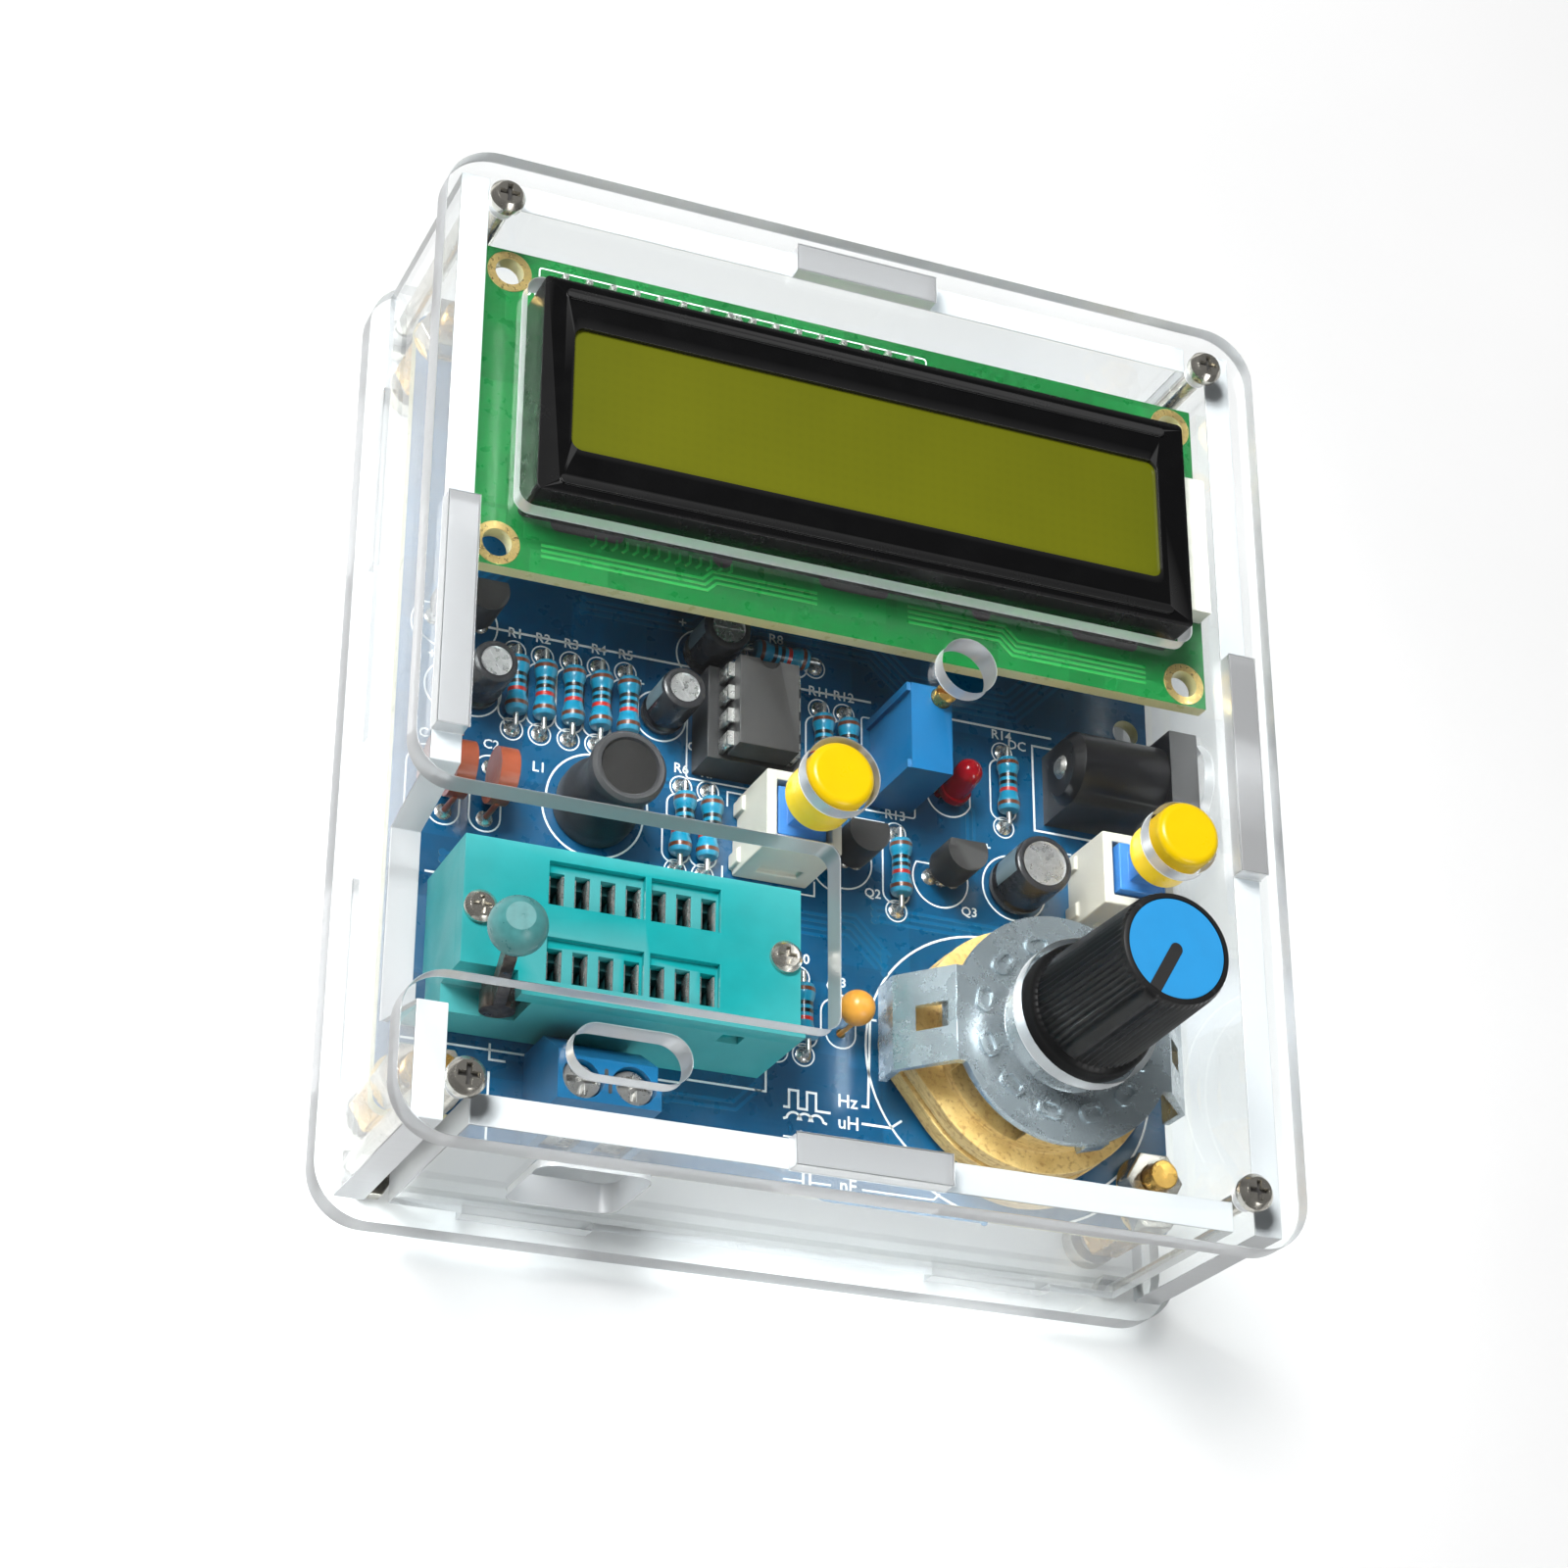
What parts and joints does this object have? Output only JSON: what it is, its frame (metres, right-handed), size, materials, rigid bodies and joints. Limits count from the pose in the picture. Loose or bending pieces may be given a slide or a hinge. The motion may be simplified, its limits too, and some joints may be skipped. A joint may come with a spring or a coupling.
{
  "type": "component tester",
  "caption": "Pocket component tester: clear tabbed case, character display, lever socket, rotary selector with knob, push buttons, trimmer, DC inlet and screw terminal.",
  "frame": {"origin": "centre of the footprint, on the plane that the four screw heads stand on", "axes": "+Z out of the front panel, +Y from the screw terminal towards the display, +X towards the DC inlet"},
  "size_m": [0.0912, 0.1034, 0.0479],
  "materials": {
    "clear_sheet": "clear, frosted at the cut edges",
    "bright_steel": "nickel plated",
    "brass": "bright",
    "tinned_metal": "tinned",
    "zinc_plate": "zinc plated",
    "lever_steel": "dark",
    "blue_board": "satin lacquer",
    "green_board": "satin lacquer",
    "black_metal": "satin black",
    "display_glass": "yellow green film",
    "white_plastic": "moulded",
    "black_plastic": "moulded",
    "teal_plastic": "moulded",
    "smoke_plastic": "translucent",
    "blue_plunger": "moulded",
    "yellow_plastic": "moulded",
    "phenolic": "pressed laminate",
    "knob_plastic": "fluted",
    "knob_inset": "moulded",
    "trimmer_plastic": "moulded",
    "resistor_lacquer": "banded lacquer",
    "can_sleeve": "shrink sleeve and aluminium top",
    "brown_ceramic": "dipped",
    "yellow_dip": "dipped",
    "ferrite": "heat shrink over a wound core",
    "red_lens": "tinted",
    "terminal_blue": "moulded"
  },
  "bodies": {
    "case": {"front_panel": "clear_sheet", "rear_panel": "clear_sheet", "left_wall": "clear_sheet", "right_wall": "clear_sheet", "top_wall": "clear_sheet", "bottom_wall": "clear_sheet", "case_screws": "bright_steel", "case_nuts": "bright_steel", "board_standoffs": "brass", "board_nuts": "bright_steel", "board_screws": "bright_steel", "main_board": "blue_board", "lcd_board": "green_board", "lcd_bezel": "black_metal", "lcd_glass": "display_glass", "lcd_backlight": "white_plastic", "lcd_header_pins": "tinned_metal", "lcd_header_socket": "black_plastic", "zif_base": "teal_plastic", "zif_cover": "teal_plastic", "zif_contacts": "tinned_metal", "zif_screws": "bright_steel", "left_switch_body": "white_plastic", "right_switch_body": "white_plastic", "rotary_plate": "zinc_plate", "rotary_stator": "phenolic", "rotary_terminals": "tinned_metal", "dc_jack_body": "black_plastic", "dc_jack_pin": "bright_steel", "trimmer_body": "trimmer_plastic", "main_chip_socket": "black_plastic", "main_chip": "black_plastic", "small_chip_socket": "black_plastic", "small_chip": "black_plastic", "resistor_bodies": "resistor_lacquer", "resistor_leads": "tinned_metal", "electrolytic_capacitors": "can_sleeve", "ceramic_capacitors": "brown_ceramic", "yellow_capacitor": "yellow_dip", "inductor": "ferrite", "transistors": "black_plastic", "led": "red_lens", "crystal": "tinned_metal", "terminal_block": "terminal_blue"},
    "lever": {"zif_lever": "lever_steel", "zif_lever_ball": "smoke_plastic"},
    "slider": {"zif_slider": "teal_plastic"},
    "left_button": {"left_switch_plunger": "blue_plunger", "left_button_cap": "yellow_plastic"},
    "right_button": {"right_switch_plunger": "blue_plunger", "right_button_cap": "yellow_plastic"},
    "knob": {"rotary_rotor": "black_plastic", "rotary_shaft": "bright_steel", "knob": "knob_plastic", "knob_cap": "knob_inset"},
    "trim_screw": {"trimmer_screw": "brass"},
    "left_wire_screw": {"terminal_screw_left": "bright_steel"},
    "right_wire_screw": {"terminal_screw_right": "bright_steel"},
    "left_wire_clamp": {"terminal_clamp_left": "bright_steel"},
    "right_wire_clamp": {"terminal_clamp_right": "bright_steel"}
  },
  "joints": [
    {"name": "zif_lever_hinge", "type": "hinge", "parent": "case", "child": "lever", "pos_m": [-0.0334, -0.03435, 0.0194], "axis": [0, -1, 0], "range_deg": [0, 75]},
    {"name": "zif_slider_slide", "type": "slide", "parent": "case", "child": "slider", "axis": [1, 0, 0], "range_m": [0, 0.0012]},
    {"name": "left_button_slide", "type": "slide", "parent": "case", "child": "left_button", "axis": [0, 0, 1], "range_m": [-0.0005, 0.0013], "stiffness_N_per_m": 300},
    {"name": "right_button_slide", "type": "slide", "parent": "case", "child": "right_button", "axis": [0, 0, 1], "range_m": [-0.0018, 0], "stiffness_N_per_m": 300},
    {"name": "knob_turn", "type": "hinge", "parent": "case", "child": "knob", "pos_m": [0.0227, -0.0301, 0.03], "axis": [0, 0, 1], "range_deg": [-60, 30]},
    {"name": "trim_screw_turn", "type": "hinge", "parent": "case", "child": "trim_screw", "pos_m": [0.011, 0.0044, 0.02], "axis": [0, 0, 1], "continuous": true},
    {"name": "left_wire_screw_turn", "type": "hinge", "parent": "case", "child": "left_wire_screw", "pos_m": [-0.02584, -0.0416, 0.02], "axis": [0, 0, -1], "range_deg": [0, 1152]},
    {"name": "left_wire_clamp_slide", "type": "slide", "parent": "case", "child": "left_wire_clamp", "axis": [0, 0, 1], "range_m": [0, 0.0016]},
    {"name": "right_wire_screw_turn", "type": "hinge", "parent": "case", "child": "right_wire_screw", "pos_m": [-0.02076, -0.0416, 0.02], "axis": [0, 0, -1], "range_deg": [0, 1152]},
    {"name": "right_wire_clamp_slide", "type": "slide", "parent": "case", "child": "right_wire_clamp", "axis": [0, 0, 1], "range_m": [0, 0.0016]}
  ],
  "couplings": [
    {"joint": "zif_lever_hinge", "follows": "zif_slider_slide", "rad_per_m": 1090.7},
    {"joint": "left_wire_screw_turn", "follows": "left_wire_clamp_slide", "rad_per_m": 12565},
    {"joint": "right_wire_screw_turn", "follows": "right_wire_clamp_slide", "rad_per_m": 12565}
  ]
}
